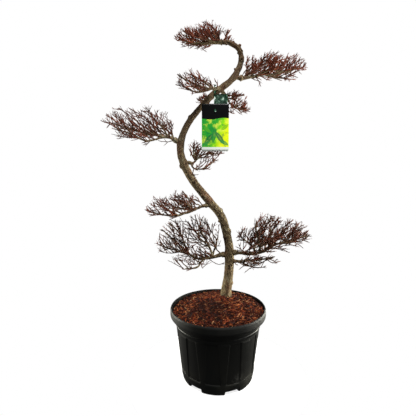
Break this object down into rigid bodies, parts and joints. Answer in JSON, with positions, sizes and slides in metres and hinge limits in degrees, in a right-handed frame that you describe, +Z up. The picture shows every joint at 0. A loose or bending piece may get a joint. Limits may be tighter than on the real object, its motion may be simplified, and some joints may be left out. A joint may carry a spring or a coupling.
{
  "type": "larch bonsai in a nursery container",
  "caption": "Bare larch trained in a tall S curve with flat cloud pads of fine twigs, standing in a black nursery container topped with bark mulch, with a hanging label.",
  "frame": {"origin": "middle of the container's flat underside, where it stands", "axes": "+Z up the container's axis, -Y towards the front, where the label hangs, +X to the right seen from the front"},
  "size_m": [0.9027, 0.4536, 1.6185],
  "materials": {
    "container": "satin black moulded plastic, a little dusty",
    "potting_mix": "dark, matt peat and fine bark",
    "mulch": "rough red-brown bark chips",
    "trunk_bark": "grey-brown, finely fissured bark",
    "twig_bark": "red-brown twig bark with small spurs",
    "label_card": "printed plastic card",
    "clear_strap": "clear plastic with a green tint"
  },
  "bodies": {
    "root": {"pot": "container", "soil": "potting_mix", "bark_mulch": "mulch", "trunk": "trunk_bark", "spray_apex": "twig_bark", "spray_upper_right": "twig_bark", "spray_upper_left": "twig_bark", "spray_upper_back": "twig_bark", "spray_small_back": "twig_bark", "spray_long_left": "twig_bark", "spray_short_right": "twig_bark", "spray_left_lower": "twig_bark", "spray_low_left": "twig_bark", "spray_low_right": "twig_bark", "spray_low_right_under": "twig_bark", "tag_card": "label_card", "tag_strap": "clear_strap"}
  },
  "joints": []
}
